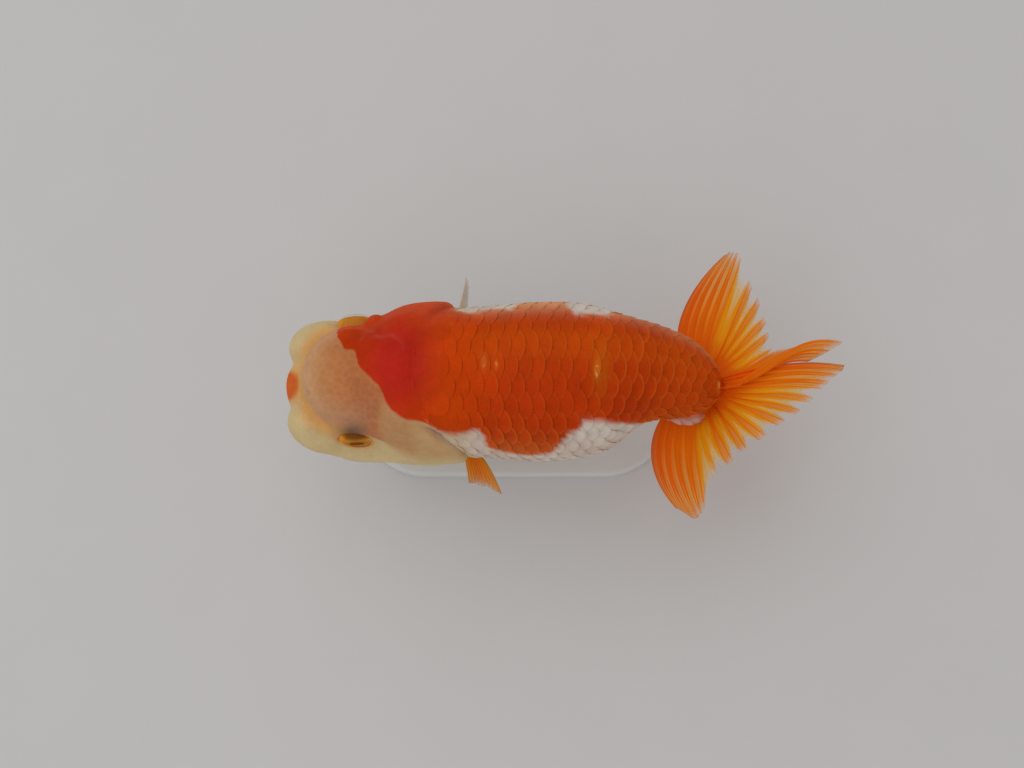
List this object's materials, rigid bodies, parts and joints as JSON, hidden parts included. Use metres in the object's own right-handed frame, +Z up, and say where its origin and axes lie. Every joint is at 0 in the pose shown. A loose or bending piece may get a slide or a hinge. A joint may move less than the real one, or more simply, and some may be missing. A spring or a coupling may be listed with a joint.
{
  "type": "goldfish model on a display stand",
  "caption": "Life-size ranchu goldfish, hooded head, no back fin and a double tail, red-orange and white, swimming level on a flat base with short rods.",
  "frame": {"origin": "middle of the underside of the stand's base", "axes": "+Z up; the head points to -X and the tail to +X; the fish's left side faces -Y"},
  "size_m": [0.138, 0.0685, 0.0728],
  "materials": {
    "head_skin": "wet skin with soft lumps",
    "body_skin": "wet overlapping scales",
    "lips": "wet skin",
    "eyes": "clear and wet over a metallic ring",
    "orange_fins": "thin ribbed membrane, clear towards the edge",
    "pale_fins": "thin ribbed membrane, nearly clear",
    "stand_base": "matt white lacquer",
    "stand_rods": "satin"
  },
  "bodies": {
    "root": {"head": "head_skin", "wen_crown": "head_skin", "wen_cheek_left": "head_skin", "wen_cheek_right": "head_skin", "lip_upper": "lips", "lip_lower": "lips", "gill_cover_left": "head_skin", "gill_cover_right": "body_skin", "trunk": "body_skin", "tail_stalk": "body_skin", "eye_left": "eyes", "eye_right": "eyes", "tail_fin_right_lower": "orange_fins", "tail_fin_right_upper": "orange_fins", "tail_fin_left_upper": "orange_fins", "tail_fin_left_lower": "orange_fins", "pectoral_fin_left": "orange_fins", "pectoral_fin_right": "pale_fins", "pelvic_fin_left": "pale_fins", "pelvic_fin_right": "pale_fins", "anal_fin_left": "pale_fins", "anal_fin_right": "pale_fins", "stand_base": "stand_base", "stand_rod_front": "stand_rods", "stand_rod_back": "stand_rods"}
  },
  "joints": []
}
